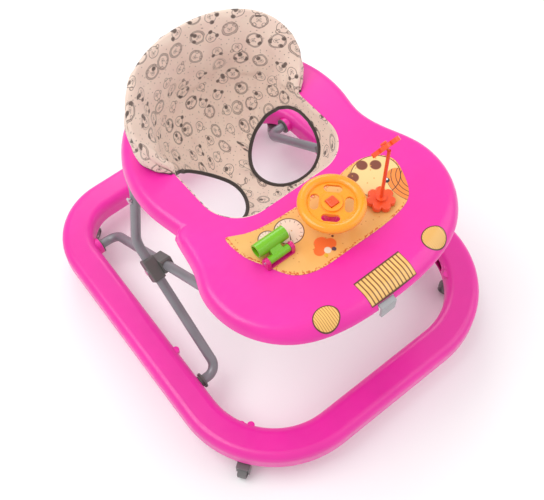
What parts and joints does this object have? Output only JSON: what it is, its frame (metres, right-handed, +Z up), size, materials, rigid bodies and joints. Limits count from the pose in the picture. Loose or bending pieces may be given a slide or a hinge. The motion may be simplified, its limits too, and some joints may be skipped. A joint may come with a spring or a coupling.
{
  "type": "baby walker",
  "caption": "Folding baby walker: ring base on swivel castors, crossed bent-tube frame, and a toy tray holding a fabric seat.",
  "frame": {"origin": "on the floor under the middle of the base ring", "axes": "+Z up, -Y towards the front of the walker where the headlights are, +X towards the left hand of a child sitting in it"},
  "size_m": [0.5672, 0.635, 0.4939],
  "materials": {
    "pink_plastic": "glossy moulded polypropylene",
    "white_castor": "satin moulded nylon",
    "steel": "plain zinc-plated steel",
    "grey_tube": "grey powder coat",
    "dark_grey_plastic": "satin",
    "grey_plastic": "satin",
    "yellow_plastic": "glossy",
    "orange_plastic": "glossy",
    "green_plastic": "glossy",
    "magenta_plastic": "glossy",
    "seat_fabric": "printed woven cotton with dark piping",
    "sticker": "printed vinyl label"
  },
  "bodies": {
    "base": {"base_ring": "pink_plastic", "castor_sockets": "dark_grey_plastic", "rear_pivot_bushes": "dark_grey_plastic"},
    "front_frame": {"front_frame_tube": "grey_tube", "pivot_block_inner_left": "dark_grey_plastic", "pivot_block_inner_right": "dark_grey_plastic"},
    "rear_frame": {"rear_frame_tube": "grey_tube", "pivot_block_outer_left": "dark_grey_plastic", "pivot_block_outer_right": "dark_grey_plastic", "pivot_rivets": "steel", "front_foot_slider_left": "dark_grey_plastic", "front_foot_slider_right": "dark_grey_plastic", "tray_hinge_pins": "steel"},
    "tray": {"tray_shell": "pink_plastic", "tray_hinge_left": "grey_plastic", "tray_hinge_right": "grey_plastic", "slide_rails": "dark_grey_plastic", "latch_guide": "dark_grey_plastic", "latch_spring": "steel", "tray_screws": "steel", "toy_panel": "sticker", "headlight_label_left": "sticker", "headlight_label_right": "sticker", "grille_label": "sticker", "seat_back": "seat_fabric", "seat_sling": "seat_fabric", "seat_tabs": "grey_plastic", "steering_post": "magenta_plastic", "lever_bracket": "magenta_plastic", "lever_pin": "steel", "flower_pedestal": "magenta_plastic"},
    "height_latch": {"height_latch": "grey_plastic"},
    "steering_wheel": {"steering_wheel": "yellow_plastic", "horn_spring": "steel"},
    "horn": {"horn_button": "orange_plastic"},
    "roller_lever": {"roller_lever": "green_plastic"},
    "flower": {"flower_knob": "orange_plastic", "flower_stalk": "green_plastic"},
    "pinwheel": {"flower_head": "orange_plastic", "flower_cap": "orange_plastic"},
    "castor_front_right": {"castor_fork_front_right": "white_castor", "castor_stem_front_right": "steel", "castor_axle_front_right": "steel"},
    "castor_roller_front_right": {"castor_wheel_front_right": "white_castor"},
    "castor_front_left": {"castor_fork_front_left": "white_castor", "castor_stem_front_left": "steel", "castor_axle_front_left": "steel"},
    "castor_roller_front_left": {"castor_wheel_front_left": "white_castor"},
    "castor_rear_right": {"castor_fork_rear_right": "white_castor", "castor_stem_rear_right": "steel", "castor_axle_rear_right": "steel"},
    "castor_roller_rear_right": {"castor_wheel_rear_right": "white_castor"},
    "castor_rear_left": {"castor_fork_rear_left": "white_castor", "castor_stem_rear_left": "steel", "castor_axle_rear_left": "steel"},
    "castor_roller_rear_left": {"castor_wheel_rear_left": "white_castor"}
  },
  "joints": [
    {"name": "castor_swivel_front_right", "type": "hinge", "parent": "base", "child": "castor_front_right", "pos_m": [-0.23412, -0.22982, 0.04], "axis": [0, 0, 1], "continuous": true},
    {"name": "castor_roll_front_right", "type": "hinge", "parent": "castor_front_right", "child": "castor_roller_front_right", "pos_m": [-0.25132, -0.24186, 0.015], "axis": [-0.5736, 0.8192, 0], "continuous": true},
    {"name": "castor_swivel_front_left", "type": "hinge", "parent": "base", "child": "castor_front_left", "pos_m": [0.23412, -0.22982, 0.04], "axis": [0, 0, 1], "continuous": true},
    {"name": "castor_roll_front_left", "type": "hinge", "parent": "castor_front_left", "child": "castor_roller_front_left", "pos_m": [0.22362, -0.21163, 0.015], "axis": [0.866, 0.5, 0], "continuous": true},
    {"name": "castor_swivel_rear_right", "type": "hinge", "parent": "base", "child": "castor_rear_right", "pos_m": [-0.21264, 0.26364, 0.04], "axis": [0, 0, 1], "continuous": true},
    {"name": "castor_roll_rear_right", "type": "hinge", "parent": "castor_rear_right", "child": "castor_roller_rear_right", "pos_m": [-0.19291, 0.27082, 0.015], "axis": [0.342, -0.9397, 0], "continuous": true},
    {"name": "castor_swivel_rear_left", "type": "hinge", "parent": "base", "child": "castor_rear_left", "pos_m": [0.21264, 0.26364, 0.04], "axis": [0, 0, 1], "continuous": true},
    {"name": "castor_roll_rear_left", "type": "hinge", "parent": "castor_rear_left", "child": "castor_roller_rear_left", "pos_m": [0.20546, 0.24391, 0.015], "axis": [-0.9397, 0.342, 0], "continuous": true},
    {"name": "front_frame_fold", "type": "hinge", "parent": "base", "child": "front_frame", "pos_m": [0, 0.216, 0.06], "axis": [1, 0, 0], "range_deg": [0, 31]},
    {"name": "scissor_pivot", "type": "hinge", "parent": "front_frame", "child": "rear_frame", "pos_m": [0, 0.059, 0.17407], "axis": [1, 0, 0], "range_deg": [-62, 0]},
    {"name": "tray_fold", "type": "hinge", "parent": "rear_frame", "child": "tray", "pos_m": [0, 0.10856, 0.3], "axis": [1, 0, 0], "range_deg": [0, 43.77]},
    {"name": "height_latch_slide", "type": "slide", "parent": "tray", "child": "height_latch", "axis": [0, -1, 0], "range_m": [0, 0.01], "stiffness_N_per_m": 150, "deforming": ["latch_spring"]},
    {"name": "steering_turn", "type": "hinge", "parent": "tray", "child": "steering_wheel", "pos_m": [0.003, -0.13, 0.39], "axis": [0, 0, 1], "continuous": true},
    {"name": "horn_press", "type": "slide", "parent": "steering_wheel", "child": "horn", "axis": [0, 0, -1], "range_m": [0, 0.0025], "stiffness_N_per_m": 150, "deforming": ["horn_spring"]},
    {"name": "lever_rock", "type": "hinge", "parent": "tray", "child": "roller_lever", "pos_m": [-0.09, -0.13, 0.361], "axis": [1, 0, 0], "range_deg": [-20, 70]},
    {"name": "flower_turn", "type": "hinge", "parent": "tray", "child": "flower", "pos_m": [0.08, -0.15, 0.355], "axis": [0, 0, 1], "continuous": true},
    {"name": "pinwheel_spin", "type": "hinge", "parent": "flower", "child": "pinwheel", "pos_m": [0.08, -0.14456, 0.47254], "axis": [0, 0.9063, 0.4226], "continuous": true}
  ],
  "couplings": [
    {"joint": "scissor_pivot", "follows": "front_frame_fold", "ratio": -2},
    {"joint": "tray_fold", "follows": "front_frame_fold", "ratio": 1.4116}
  ]
}
